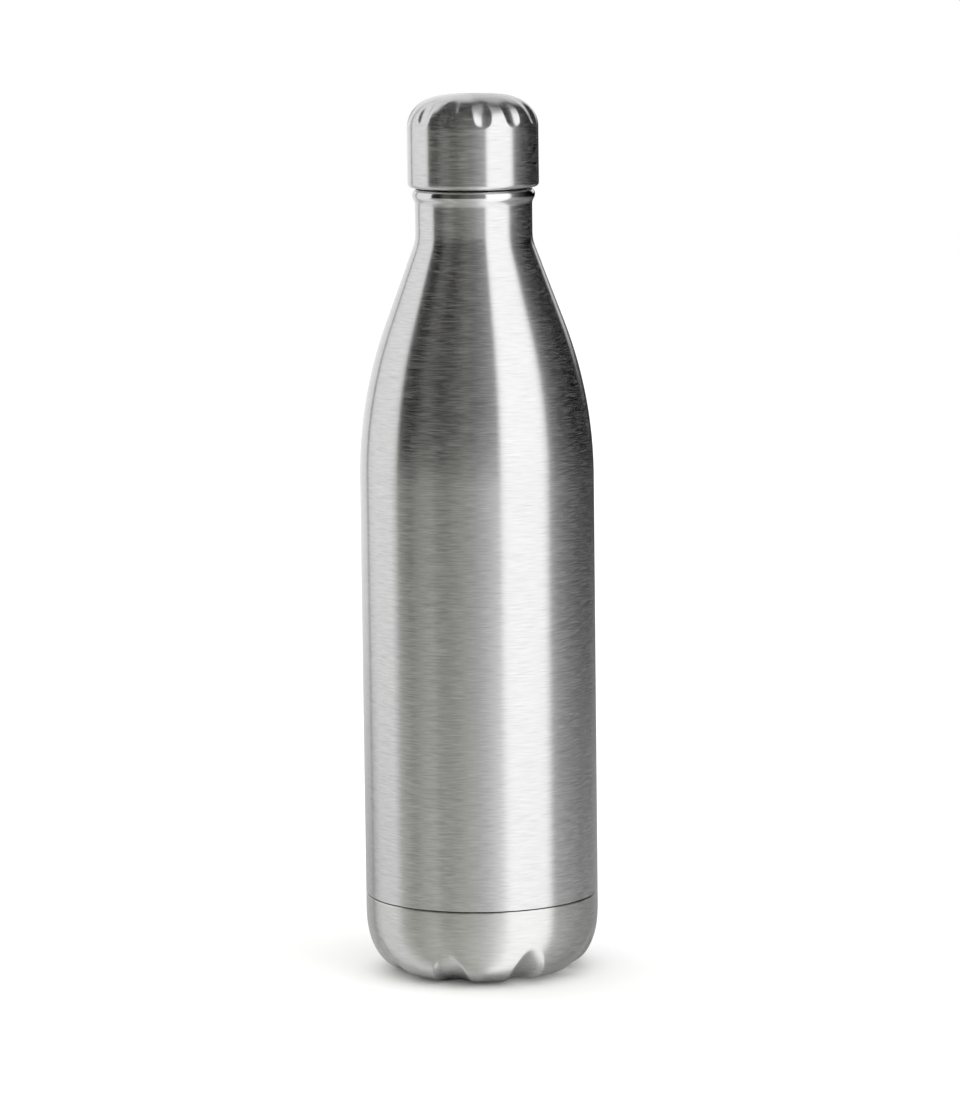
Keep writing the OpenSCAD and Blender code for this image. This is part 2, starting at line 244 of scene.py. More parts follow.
def shoulder(inset, top_r, fillet_r):
    """The path from the barrel's top to a neck of radius top_r: bulging arc, straight cone and hollow fillet.

    inset is how far it lies inside the outer face.
    """
    bulge = arc((BODY_R - SHOULDER_R, BARREL_TOP_Z), SHOULDER_R - inset, 0, SHOULDER_ANGLE, 48)
    start_r, start_z = bulge[-1]
    cone_top_z = start_z + (start_r - top_r) / math.tan(SHOULDER_ANGLE)
    fillet_z = cone_top_z + fillet_r * math.tan(SHOULDER_ANGLE / 2)
    hollow = arc((top_r + fillet_r, fillet_z), fillet_r, math.pi + SHOULDER_ANGLE, math.pi, 20)
    return bulge + hollow


def right_normals(path):
    """Unit normals that point to the right of the path's direction of travel."""
    p = np.array(path)
    ahead = np.gradient(p, axis=0)
    ahead /= np.linalg.norm(ahead, axis=1, keepdims=True)
    return np.stack([ahead[:, 1], -ahead[:, 0]], axis=1)


# ---- Meshes ----------------------------------------------------------------------------------


def grid_piece(name, radii, heights, closed, body, material, nodes):
    """A piece from rows of radii and heights round the axis. A row with radius 0 becomes one pole.

    closed joins the last row to the first. nodes are the CAD nodes that the piece replaces.
    """
    smallest_r = 1e-9
    rows, columns = radii.shape
    angles = np.arange(columns) * 2 * math.pi / columns
    points, row_index = [], []
    for i in range(rows):
        if radii[i].max() < smallest_r:
            row_index.append([len(points)] * columns)
            points.append((0, 0, heights[i, 0] * MM))
            continue
        row_index.append(list(range(len(points), len(points) + columns)))
        x, y = radii[i] * np.cos(angles) * MM, radii[i] * np.sin(angles) * MM
        points += list(zip(x, y, heights[i] * MM))
    faces = []
    for i in range(rows if closed else rows - 1):
        low, high = row_index[i], row_index[(i + 1) % rows]
        low_pole, high_pole = low[0] == low[-1], high[0] == high[-1]
        for j in range(columns):
            k = (j + 1) % columns
            if low_pole and high_pole:
                continue
            if low_pole:
                faces.append((low[j], high[k], high[j]))
            elif high_pole:
                faces.append((low[j], low[k], high[j]))
            else:
                faces.append((low[j], low[k], high[k], high[j]))
    mesh = bpy.data.meshes.new(name)
    mesh.from_pydata(points, [], faces)
    work = bmesh.new()
    work.from_mesh(mesh)
    bmesh.ops.recalc_face_normals(work, faces=work.faces)
    work.to_mesh(mesh)
    work.free()
    mesh.shade_smooth()
    mesh.materials.append(material)
    piece = bpy.data.objects.new(name, mesh)
    bpy.context.collection.objects.link(piece)
    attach(piece, body)
    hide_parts(*nodes)


def turned_piece(name, path, columns, closed, body, material, nodes):
    """A piece of revolution from one path of (r, z) points."""
    p = np.array(path)
    radii = np.repeat(p[:, :1], columns, axis=1)
    heights = np.repeat(p[:, 1:], columns, axis=1)
    grid_piece(name, radii, heights, closed, body, material, nodes)


def smooth_max(a, b, blend):
    """The larger of a and b, with the corner where they cross rounded over the width blend."""
    h = np.maximum(blend - np.abs(a - b), 0) / blend
    return np.maximum(a, b) + h * h * blend / 4


class BentPunch:
    """A round bar bent to the arc of a dent's floor, repeated round the axis, as a distance field."""

    def __init__(self, centre, floor_r, bar_r, span, count, clock):
        self.centre, self.floor_r, self.bar_r = centre, floor_r, bar_r
        self.span, self.count, self.clock = span, count, clock

    def distance(self, r, z, theta):
        """Distance from the nearest bar, negative inside it, for points at (r, z) and angle theta."""
        period = 2 * math.pi / self.count
        local = (theta - self.clock + period / 2) % period - period / 2
        best = None
        for turn in (-period, 0, period):
            x, y = r * np.cos(local + turn), r * np.sin(local + turn)
            line_r = self.floor_r + self.bar_r
            along = np.clip(np.arctan2(z - self.centre[1], x - self.centre[0]), *self.span)
            dx = x - self.centre[0] - line_r * np.cos(along)
            dz = z - self.centre[1] - line_r * np.sin(along)
            d = np.sqrt(dx * dx + dz * dz + y * y) - self.bar_r
            best = d if best is None else np.minimum(best, d)
        return best


def dented_depth(path, normals, theta, punch):
    """How far each point of the turned path is pushed in by the punch, with the dent's edges rounded."""
    deepest, halvings, least = 4.0, 24, 1e-4
    r, z = (np.array(path)[:, k][:, None] for k in (0, 1))
    nr, nz = normals[:, 0][:, None], normals[:, 1][:, None]
    low = np.zeros((len(path), len(theta)))
    high = np.full_like(low, deepest)
    for _ in range(halvings):
        depth = (low + high) / 2
        outside = -punch.distance(r + nr * depth, z + nz * depth, theta[None, :])
        solid = smooth_max(-depth, outside, DENT_BLEND) < 0
        high = np.where(solid, depth, high)
        low = np.where(solid, low, depth)
    depth = (low + high) / 2
    depth[depth < least] = 0
    return depth


def dented_sheet(name, face, side, columns, punch, body, material, nodes):
    """A sheet whose outer face runs from its free edge to the axis, pressed by a punch.

    side is 1 if the sheet lies to the right of the path's direction of travel, and -1 if to the left.
    """
    normals = side * right_normals(face)
    normals[-1] = (0, math.copysign(1, normals[-1][1]))
    theta = np.arange(columns) * 2 * math.pi / columns
    depth = dented_depth(face, normals, theta, punch)
    p = np.array(face)
    outer_r = p[:, :1] + normals[:, :1] * depth
    outer_z = p[:, 1:] + normals[:, 1:] * depth
    inner_r = outer_r + normals[:, :1] * SHEET
    inner_z = outer_z + normals[:, 1:] * SHEET
    outer_r[-1] = inner_r[-1] = 0
    start = p[0] + normals[0] * SHEET
    rim = np.array(half_turn_rim(p[0], start, side))
    rim_r, rim_z = (np.repeat(rim[:, k : k + 1], columns, axis=1) for k in (0, 1))
    radii = np.vstack([inner_r[::-1], rim_r, outer_r])
    heights = np.vstack([inner_z[::-1], rim_z, outer_z])
    grid_piece(name, radii, heights, False, body, material, nodes)


def thread_height(z, theta, first_z, turns, widths):
    """0 to 1 across a screw ridge: a trapezium with soft edges that fades out at both ends."""
    root_w, crest_w = widths
    fade = math.radians(50)
    best = np.zeros(np.broadcast(z, theta).shape)
    for turn in range(-1, math.ceil(turns) + 1):
        along = theta + turn * 2 * math.pi
        offset = np.abs(z - first_z - PITCH * along / (2 * math.pi))
        flank = np.clip((root_w / 2 - offset) / ((root_w - crest_w) / 2), 0, 1)
        flank = flank * flank * (3 - 2 * flank)
        ends = np.clip(np.minimum(along, turns * 2 * math.pi - along) / fade, 0, 1)
        best = np.maximum(best, flank * ends * ends * (3 - 2 * ends))
    return best


def threaded_grid(path, rows, rise, first_z, turns, widths):
    """Radii and heights of a turned path with a screw ridge on some rows. rise is below 0 for one inwards."""
    p = np.array(path)
    theta = np.arange(THREAD_COLUMNS) * 2 * math.pi / THREAD_COLUMNS
    radii = np.repeat(p[:, :1], THREAD_COLUMNS, axis=1)
    heights = np.repeat(p[:, 1:], THREAD_COLUMNS, axis=1)
    ridge = thread_height(heights, theta[None, :], first_z, turns, widths)
    radii[rows] += ridge[rows] * rise
    return radii, heights


# ---- Materials -------------------------------------------------------------------------------


def add(tree, kind, inputs=None, **settings):
    """A new shader node with its settings, and its inputs linked or set."""
    made = tree.nodes.new(kind)
    for key, value in settings.items():
        setattr(made, key, value)
    for key, value in (inputs or {}).items():
        if isinstance(value, bpy.types.NodeSocket):
            tree.links.new(value, made.inputs[key])
        else:
            made.inputs[key].default_value = value
    return made


def maths(tree, operation, *values):
    """The result of a Math node; each value is a number or a socket."""
    return add(tree, "ShaderNodeMath", dict(enumerate(values)), operation=operation).outputs[0]


def noise(tree, vector, scale, detail):
    """The factor of a noise texture."""
    inputs = {"Vector": vector, "Scale": scale, "Detail": detail}
    return add(tree, "ShaderNodeTexNoise", inputs).outputs["Fac"]


def around(tree, value, middle, half):
    """Maps 0..1 to a range round middle that reaches half to either side."""
    inputs = {"Value": value, "To Min": middle - half, "To Max": middle + half}
    return add(tree, "ShaderNodeMapRange", inputs).outputs[0]


def ramp(tree, value, start, end, smooth=True):
    """0 where the value is below start and 1 above end. start may be the larger one."""
    kind = "SMOOTHSTEP" if smooth else "LINEAR"
    made = add(tree, "ShaderNodeMapRange", {"Value": value, "From Min": start, "From Max": end},
               interpolation_type=kind)
    return made.outputs[0]


def mixed(tree, factor, a, b):
    """a where the factor is 0 and b where it is 1; a and b are numbers or sockets."""
    return add(tree, "ShaderNodeMix", {0: factor, 2: a, 3: b}, data_type="FLOAT").outputs[0]


def mixed_colour(tree, factor, a, b):
    """As mixed(), for colours with an alpha."""
    return add(tree, "ShaderNodeMix", {0: factor, 6: a, 7: b}, data_type="RGBA").outputs[2]


def new_material(name, colour, **inputs):
    """A material with one Principled shader. Returns the material, its tree and the shader node."""
    material = bpy.data.materials.new(name)
    material.use_nodes = True
    material.diffuse_color = (*colour, 1)
    tree = material.node_tree
    shader = tree.nodes["Principled BSDF"]
    shader.inputs["Base Color"].default_value = (*colour, 1)
    for key, value in inputs.items():
        shader.inputs[key].default_value = value
    return material, tree, shader


def tinted(tree, colour, factor):
    """The colour multiplied by a factor socket."""
    return add(tree, "ShaderNodeVectorMath", {0: colour, "Scale": factor}, operation="SCALE").outputs[0]


def streaks(tree, flow, length, width, detail):
    """Noise drawn out round the axis: length and width of a streak in millimetres."""
    x, y, across = flow
    along = 1 / (length * MM)
    vector = add(tree, "ShaderNodeCombineXYZ")
    tree.links.new(maths(tree, "MULTIPLY", x, along), vector.inputs[0])
    tree.links.new(maths(tree, "MULTIPLY", y, along), vector.inputs[1])
    tree.links.new(maths(tree, "MULTIPLY", across, 1 / (width * MM)), vector.inputs[2])
    return noise(tree, vector.outputs[0], 1.0, detail)


def brush_flow(tree, outwards):
    """Object x, y and the distance across the brushing, which runs round the axis; and the height."""
    place = add(tree, "ShaderNodeTexCoord").outputs["Object"]
    parts = add(tree, "ShaderNodeSeparateXYZ", {"Vector": place}).outputs
    radius = maths(tree, "SQRT", maths(tree, "ADD", maths(tree, "MULTIPLY", parts[0], parts[0]),
                                       maths(tree, "MULTIPLY", parts[1], parts[1])))
    across = maths(tree, "ADD" if outwards else "SUBTRACT", parts[2], radius)
    return (parts[0], parts[1], across), parts[2]


# Streaks of brushed steel: length and width in millimetres, and the noise's detail.
FINE_STREAKS = (5, 0.34, 1.0)
MEDIUM_STREAKS = (12, 0.9, 2.0)
BROAD_STREAKS = (50, 12, 3.0)
SCRATCHES = (9, 0.28, 0.0)
# Share of the fine streaks in the grain; the medium streaks have the rest.
FINE_SHARE = 0.88
# How much the colour varies with the grain, with the broad streaks and with the scratches.
GRAIN_CONTRAST, BROAD_CONTRAST, SCRATCH_CONTRAST = 0.22, 0.03, 0.05
# Noise above which a scratch starts, and how steeply it sets in.
SCRATCH_START, SCRATCH_GAIN = 0.66, 8.0
# Share of the light that brushed steel scatters in all directions, and how much it varies between streaks.
SCATTER, SCATTER_SPREAD = 0.055, 0.2
# How much the roughness varies with the grain and with the broad streaks.
GRAIN_ROUGHNESS, BROAD_ROUGHNESS = 0.01, 0.02
# The grain's bump, and the stretch of the reflections across the brushing, turned by a quarter of a turn.
BRUSH_BUMP, BRUSH_DEPTH = 0.05, 0.02 * MM
ANISOTROPY, ANISOTROPY_TURN = 0.88, 0.25
# Roughness and brightness of a polished band, and the width over which it starts and ends.
POLISHED_ROUGHNESS, POLISHED_SHADE, POLISHED_FADE = 0.05, 1.05, 0.2 * MM


def brushed_steel(name, colour, roughness, outwards=False, polished=None, contrast=1.0):
    """Steel brushed round the axis.

    outwards is for a piece that widens upwards. polished is a band that shines like a mirror: its lowest and
    its highest z in millimetres.
    """
    material, tree, shader = new_material(name, colour, Metallic=1.0)
    flow, height = brush_flow(tree, outwards)
    fine = streaks(tree, flow, *FINE_STREAKS)
    medium = streaks(tree, flow, *MEDIUM_STREAKS)
    broad = streaks(tree, flow, *BROAD_STREAKS)
    scratch = streaks(tree, flow, *SCRATCHES)
    scratch = maths(tree, "MULTIPLY", maths(tree, "SUBTRACT", scratch, SCRATCH_START), SCRATCH_GAIN)
    scratch = maths(tree, "MINIMUM", maths(tree, "MAXIMUM", scratch, 0.0), 1.0)
    grain = maths(tree, "ADD", maths(tree, "MULTIPLY", fine, FINE_SHARE),
                  maths(tree, "MULTIPLY", medium, 1 - FINE_SHARE))
    shade = maths(tree, "MULTIPLY", around(tree, grain, 1.0, GRAIN_CONTRAST * contrast),
                  around(tree, broad, 1.0, BROAD_CONTRAST))
    shade = maths(tree, "SUBTRACT", shade, maths(tree, "MULTIPLY", scratch, SCRATCH_CONTRAST * contrast))
    # The brushing scatters light from all round, which shows as pale streaks where the reflection is dark.
    matt = maths(tree, "MAXIMUM", around(tree, grain, SCATTER, SCATTER_SPREAD), 0.0)
    rough = maths(tree, "ADD", around(tree, grain, roughness, GRAIN_ROUGHNESS),
                  around(tree, broad, 0.0, BROAD_ROUGHNESS))
    bump = add(tree, "ShaderNodeBump", {"Height": grain, "Strength": BRUSH_BUMP, "Distance": BRUSH_DEPTH})
    if polished:
        low, high = (z * MM for z in polished)
        above = ramp(tree, height, low, low + POLISHED_FADE, smooth=False)
        below = ramp(tree, height, high + POLISHED_FADE, high, smooth=False)
        inside = maths(tree, "MULTIPLY", above, below)
        outside = maths(tree, "SUBTRACT", 1.0, inside)
        rough = maths(tree, "ADD", maths(tree, "MULTIPLY", rough, outside),
                      maths(tree, "MULTIPLY", inside, POLISHED_ROUGHNESS))
        shade = maths(tree, "ADD", maths(tree, "MULTIPLY", shade, outside),
                      maths(tree, "MULTIPLY", inside, POLISHED_SHADE))
        matt = maths(tree, "MULTIPLY", matt, outside)
        tree.links.new(maths(tree, "MULTIPLY", outside, ANISOTROPY), shader.inputs["Anisotropic"])
        tree.links.new(maths(tree, "MULTIPLY", outside, BRUSH_BUMP), bump.inputs["Strength"])
    else:
        shader.inputs["Anisotropic"].default_value = ANISOTROPY
    tree.links.new(maths(tree, "SUBTRACT", 1.0, matt), shader.inputs["Metallic"])
    tree.links.new(tinted(tree, colour, shade), shader.inputs["Base Color"])
    tree.links.new(rough, shader.inputs["Roughness"])
    tree.links.new(bump.outputs[0], shader.inputs["Normal"])
    shader.inputs["Anisotropic Rotation"].default_value = ANISOTROPY_TURN
    tangent = add(tree, "ShaderNodeTangent", direction_type="RADIAL", axis="Z")
    tree.links.new(tangent.outputs[0], shader.inputs["Tangent"])
    return material


# Grained materials: number of soft clouds per metre, strength of the bump, and how much the roughness varies.
CLOUD_SCALE, GRAIN_BUMP, GRAINED_ROUGHNESS = 90.0, 0.4, 0.06


def grained(name, colour, roughness, grain_mm, depth_mm, contrast, metallic=0.0, **extra):
    """A moulded, cast or foamed material: even grain in colour, roughness and bump, and soft clouds."""
    material, tree, shader = new_material(name, colour, Metallic=metallic, **extra)
    place = add(tree, "ShaderNodeTexCoord").outputs["Object"]
    grain = noise(tree, place, 1 / (grain_mm * MM), 3.0)
    cloud = noise(tree, place, CLOUD_SCALE, 2.0)
    shade = maths(tree, "MULTIPLY", around(tree, grain, 1.0, contrast),
                  around(tree, cloud, 1.0, contrast / 2))
    bump = add(tree, "ShaderNodeBump", {"Height": grain, "Strength": GRAIN_BUMP, "Distance": depth_mm * MM})
    tree.links.new(tinted(tree, colour, shade), shader.inputs["Base Color"])
    tree.links.new(around(tree, grain, roughness, GRAINED_ROUGHNESS), shader.inputs["Roughness"])
    tree.links.new(bump.outputs[0], shader.inputs["Normal"])
    return material


# Colour and roughness of the steel outside.
STEEL = (0.61, 0.61, 0.61)
BRUSHED = 0.215
# The bead under the cap is polished.
bead_band = (BEAD_Z - 1.2, BEAD_Z + BEAD_R + 0.4)
barrel_steel = brushed_steel("barrel_steel", STEEL, BRUSHED, polished=bead_band)
base_steel = brushed_steel("base_steel", (0.62, 0.62, 0.61), BRUSHED, outwards=True, contrast=0.9)
cap_steel = brushed_steel("cap_steel", STEEL, BRUSHED, contrast=0.9)
inner_steel = brushed_steel("inner_steel", (0.66, 0.65, 0.64), 0.3, contrast=0.5)

# Colour, roughness, size and depth of the grain in millimetres, and contrast.
copper_foil = grained("copper_foil", (0.72, 0.42, 0.28), 0.3, 6.0, 0.3, 0.08, metallic=1.0)
getter = grained("getter", (0.1, 0.1, 0.105), 0.7, 0.3, 0.05, 0.25, metallic=0.6)
seal_glass = grained("seal_glass", (0.12, 0.17, 0.15), 0.15, 1.0, 0.05, 0.15)
silicone = grained("silicone", (0.8, 0.8, 0.78), 0.42, 0.5, 0.02, 0.02,
                   **{"Subsurface Weight": 0.15, "Subsurface Scale": 1.0 * MM})
insert_plastic = grained("insert_plastic", (0.8, 0.8, 0.785), 0.38, 0.35, 0.02, 0.02)
adhesive = grained("adhesive", (0.05, 0.055, 0.055), 0.45, 1.2, 0.1, 0.15)
foam = grained("foam", (0.75, 0.66, 0.42), 0.9, 0.6, 0.2, 0.18)

# ---- Bottle ----------------------------------------------------------------------------------

# The corners given to rounded() are (r, z, fillet radius).


def outer_shell():
    """The outer wall in one sheet: collar, joggle at the seam, barrel, shoulder, neck, bead and mouth."""
    joggle_z = SEAM_Z + SEAM_GAP
    bead = (NECK_R + BEAD_PROUD - BEAD_R, BEAD_Z)
    root_angle = math.acos(1 - BEAD_PROUD / (BEAD_R + BEAD_ROOT_R))
    root = (NECK_R + BEAD_ROOT_R, BEAD_Z - (BEAD_R + BEAD_ROOT_R) * math.sin(root_angle))
    weld_r = BORE_R + LINER_SHEET
    outer = rounded([
        (COLLAR_R - SHEET / 2, COLLAR_Z, 0), (COLLAR_R, COLLAR_Z, 0.2), (COLLAR_R, SEAM_Z, 0.1),
        (BODY_R - 0.15, joggle_z, 0.1), (BODY_R, joggle_z + 0.15, 0.1), (BODY_R, joggle_z + 1, 0),
    ])
    outer += shoulder(0, NECK_R, NECK_FILLET_R)
    outer += arc(root, BEAD_ROOT_R, math.pi, math.pi - root_angle, 16)
    outer += arc(bead, BEAD_R, -root_angle, math.radians(72), 32)[1:]
    outer += rounded([
        (MOUTH_R + 0.6, BEAD_Z + BEAD_R - 0.05, 0), (MOUTH_R, BEAD_Z + BEAD_R + 0.1, 0.5),
        (MOUTH_R, LIP_Z, 0.8), (weld_r, LIP_Z, 0),
    ], 8)
    inner = [(COLLAR_R - SHEET, COLLAR_Z + 0.1), (COLLAR_R - SHEET, SEAM_Z + 0.25)]
    inner += [(BODY_R - SHEET, joggle_z + 0.6)]
    inner += shoulder(SHEET, NECK_R - SHEET, NECK_FILLET_R + SHEET)
    inner += [(NECK_R - SHEET, root[1])]
    inner += arc(bead, BEAD_R - SHEET, -root_angle, math.radians(80), 16)
    inner += [(MOUTH_R - SHEET, BEAD_Z + BEAD_R - 0.2), (MOUTH_R - SHEET, LIP_Z - 1.0),
              (MOUTH_R - SHEET - 0.4, LIP_Z - LIP_SHEET), (weld_r, LIP_Z - LIP_SHEET)]
    turned_piece("outer_shell_smooth", outer + inner[::-1], SHELL_COLUMNS, True,
                 "bottle", barrel_steel, ["outer_shell"])


def base_cup():
    """The drawn cup: wall, dented corner, ground ring and raised floor."""
    quarter = squircle((FOOT_R, 0), (BODY_R - FOOT_R, CORNER_H), CORNER_POWER)
    corner = [(r, CORNER_H - z) for r, z in quarter]
    land = arc((LAND_R, LAND_BEND_R), LAND_BEND_R, -math.pi / 2, math.radians(-150), 8)
    floor = rounded([(*land[-1], 0), (RECESS_R, RECESS_Z, 2.0), (0, RECESS_Z, 0)], 8)
    face = [(BODY_R, SEAM_Z - SHEET / 2)] + corner + land + floor[1:]
    face = resampled(face, BASE_SPACING)
    punch = BentPunch(BASE_DENT_CENTRE, BASE_DENT_FLOOR_R, BASE_BAR_R, BASE_BAR_SPAN, BASE_DENTS, BASE_CLOCK)
    dented_sheet("base_cup_smooth", face, 1, BASE_COLUMNS, punch,
                 "bottle", base_steel, ["base_cup"])


def inner_liner():
    """The inner wall: barrel, shoulder, throat, ledge for the seal, and a mouth with the screw ridge."""
    inset = BODY_R - LINER_R
    weld_r = BORE_R + LINER_SHEET
    outer = [(LINER_R, LINER_Z)] + shoulder(inset, THROAT_R + LINER_SHEET, LINER_FILLET_R)
    outer += rounded([
        (THROAT_R + LINER_SHEET, LEDGE_Z - 2, 0), (THROAT_R + LINER_SHEET, LEDGE_Z - LINER_SHEET, 0.3),
        (weld_r, LEDGE_Z - LINER_SHEET, 0.5), (weld_r, LEDGE_Z + 1, 0),
    ])
    lip_r = LINER_SHEET / 2
    outer += [(weld_r, LIP_Z - lip_r)]
    inner = [(LINER_R - LINER_SHEET, LINER_Z)]
    inner += shoulder(inset + LINER_SHEET, THROAT_R, LINER_FILLET_R + LINER_SHEET)
    inner += rounded([
        (THROAT_R, LEDGE_Z - 2, 0), (THROAT_R, LEDGE_Z, 0.3), (BORE_R, LEDGE_Z, 0.3),
        (BORE_R, LEDGE_Z + 1, 0),
    ])
    threaded = resampled([inner[-1], (BORE_R, LIP_Z - LINER_SHEET)], THREAD_SPACING)[1:]
    lip = arc((BORE_R + lip_r, LIP_Z - lip_r), lip_r, math.pi, 0, 8)
    rows = slice(len(inner), len(inner) + len(threaded))
    radii, heights = threaded_grid(inner + threaded + lip + outer[::-1], rows, NECK_CREST_R - BORE_R,
                                   NECK_THREAD_Z, NECK_TURNS, NECK_RIDGE_WIDTHS)
    grid_piece("inner_liner_smooth", radii, heights, True,
               "bottle", inner_steel, ["inner_liner"])


# ---- Seal and cap ----------------------------------------------------------------------------


def seal_ring():
    """The silicone ring, with a shallow groove round its outside."""
    low_z, high_z = seal_low[2], seal_high[2]
    outer_r = seal_high[0]
    path = rounded([
        (GROOVE_R + 0.6, low_z, 0), (outer_r, low_z, 0.5), (outer_r, low_z + 0.9, 0.25),
        (outer_r - 0.35, (low_z + high_z) / 2, 0.3), (outer_r, high_z - 0.9, 0.25), (outer_r, high_z, 0.5),
        (GROOVE_R + PLAY, high_z, 0.2), (GROOVE_R + PLAY, low_z, 0.2), (GROOVE_R + 0.6, low_z, 0),
    ])[:-1]
    turned_piece("seal_ring_smooth", path, SMALL_COLUMNS, True, "seal", silicone, ["seal_ring"])


def cap_edge():
    """The cap's outline from its side up to the axis: part of an ellipse that runs into a flat dome."""
    size = (CAP_R - CAP_CORNER_R, CAP_CORNER_H)
    stop = math.acos((CAP_DOME_R - CAP_CORNER_R) / size[0])
    dome_h = CAP_DOME_R / 4 * size[1] / size[0] / math.tan(stop)
    centre_z = CAP_TOP_Z - dome_h - size[1] * math.sin(stop)
    corner = [
        (CAP_CORNER_R + size[0] * math.cos(a), centre_z + size[1] * math.sin(a))
        for a in np.linspace(0, stop, 48)
    ]
    dome = [(r, CAP_TOP_Z - dome_h * (r / CAP_DOME_R) ** 4) for r in np.linspace(CAP_DOME_R, 0, 40)[1:]]
    return corner + dome


def cap_shell():
    """The steel cap: rounded hem, straight side and dented top corner."""
    hem = arc((CAP_R - HEM_R, CAP_Z + HEM_R), HEM_R, -math.pi / 2, 0, 12)
    face = resampled([(HEM_INNER_R + SHEET / 2, CAP_Z)] + hem + cap_edge(), CAP_SPACING)
    punch = BentPunch(CAP_DENT_CENTRE, CAP_DENT_FLOOR_R, CAP_BAR_R, CAP_BAR_SPAN, CAP_DENTS, CAP_CLOCK)
    dented_sheet("cap_shell_smooth", face, -1, CAP_COLUMNS, punch,
                 "cap", cap_steel, ["cap_shell"])


def cap_insert():
    """The plastic skirt and deck inside the steel cap, with a hole for the stopper's spigot."""
    low_z, high_z = insert_low[2], insert_high[2]
    skirt_r, inner_r, hole_r = insert_high[0], MOUTH_R + 0.6, SPIGOT_R + PLAY
    middle_z = (DECK_Z + high_z) / 2
    path = rounded([
        (hole_r, middle_z, 0), (hole_r, high_z, 0.2), (skirt_r, high_z, 0.5), (skirt_r, low_z + 0.4, 0.2),
        (skirt_r - 0.4, low_z, 0.2), (inner_r, low_z, 0.6), (inner_r, DECK_Z, 0.8), (hole_r, DECK_Z, 0.1),
        (hole_r, middle_z, 0),
    ])[:-1]
    turned_piece("cap_insert_smooth", path, SMALL_COLUMNS, True,
                 "cap", insert_plastic, ["cap_insert"])


def stopper_plug():
    """The hollow stopper: nose, groove for the seal, screw ridge, and the spigot in the insert's hole."""
    shoulder_z = DECK_Z - PLAY
    nose = rounded([
        (0, NOSE_Z, 0), (NOSE_R, NOSE_Z, 0.6), (NOSE_R, LEDGE_Z, 0.15), (GROOVE_R, LEDGE_Z, 0.2),
        (GROOVE_R, GROOVE_TOP_Z, 0.2), (STOPPER_R, GROOVE_TOP_Z, 0.25), (STOPPER_R, GROOVE_TOP_Z + 0.6, 0),
    ])
    threaded = resampled([nose[-1], (STOPPER_R, shoulder_z - 0.3)], THREAD_SPACING)[1:]
    spigot = rounded([
        (STOPPER_R, shoulder_z - 0.3, 0), (STOPPER_R, shoulder_z, 0.1), (SPIGOT_R, shoulder_z, 0.1),
        (SPIGOT_R, SPIGOT_TOP_Z, 0.2), (PLUG_BORE_R, SPIGOT_TOP_Z, 0.2), (PLUG_BORE_R, PLUG_FLOOR_Z, 0.3),
        (0, PLUG_FLOOR_Z, 0),
    ])[1:]
    rows = slice(len(nose), len(nose) + len(threaded))
    radii, heights = threaded_grid(nose + threaded + spigot, rows, STOPPER_CREST_R - STOPPER_R,
                                   STOPPER_THREAD_Z, STOPPER_TURNS, STOPPER_RIDGE_WIDTHS)
    grid_piece("stopper_plug_smooth", radii, heights, False,
               "cap", insert_plastic, ["stopper_plug"])


for build in (outer_shell, base_cup, inner_liner, seal_ring, cap_shell, cap_insert, stopper_plug):
    build()

# Pieces inside the bottle and the cap keep their CAD meshes.
hidden_finishes = {
    "outer_bottom": inner_steel, "inner_bottom": inner_steel, "getter_clip": inner_steel,
    "base_bond": adhesive, "cap_bond": adhesive, "reflective_foil": copper_foil, "getter_pill": getter,
    "port_glass": seal_glass, "plug_lid": insert_plastic, "plug_foam": foam, "cap_foam": foam,
}
for node, finish in hidden_finishes.items():
    cad_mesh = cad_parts[node]
    for material_slot in cad_mesh.material_slots:
        material_slot.material = finish

# ---- Studio ----------------------------------------------------------------------------------

WHITE = (1, 1, 1, 1)
# The studio as the steel reflects it. Each row is an angle from the camera towards the right, in degrees, and
# the brightness there of the table close to the bottle, of the table further out and of the room. The two
# table columns are painted light pools and reflections, which the floor gives off to the steel.
STUDIO = [
    # a pale wall, with a thin dark gap
    (-180, 0.55, 1.00, 1.00), (-140, 0.50, 0.95, 0.95), (-137, 0.30, 0.20, 0.00), (-134, 0.52, 0.95, 0.95),
    (-120, 0.85, 1.10, 1.05), (-94, 0.90, 1.10, 1.10), (-91, 0.78, 0.70, 1.08), (-87, 0.64, 0.60, 0.97),
    # black cloth, with a grey strip in it
    (-84, 0.60, 0.56, 0.09), (-76, 0.53, 0.46, 0.03), (-69, 0.47, 0.40, 0.02), (-65, 0.51, 0.50, 0.04),
    (-56, 0.59, 0.55, 0.12), (-46, 0.64, 0.61, 0.11), (-40, 0.51, 0.47, 0.07), (-30, 0.51, 0.44, 0.07),
    # a grey reflector in front
    (-10, 0.65, 0.58, 0.18), (-3, 0.70, 0.69, 0.17), (6, 0.80, 0.90, 0.24), (21, 1.18, 1.16, 0.38),
    # a softbox
    (25, 1.35, 1.40, 1.45), (30, 1.50, 1.55, 1.60), (68, 1.46, 1.55, 1.55), (73, 1.10, 1.15, 1.20),
    # black cloth
    (77, 0.66, 0.60, 0.42), (84, 0.56, 0.41, 0.20), (97, 0.47, 0.23, 0.08), (117, 0.35, 0.10, 0.01),
    (140, 0.32, 0.06, 0.00), (180, 0.38, 0.06, 0.00),
]
# A rise below is the sine of the angle above the horizon.
# The walls lean outwards: their angles grow by this much times the square of the rise.
LEAN = 0.4
# Distances from the bottle, in metres, between which the table changes from one column to the next.
TABLE_NEAR, TABLE_FAR, TABLE_END = 0.2, 1.2, 2.2
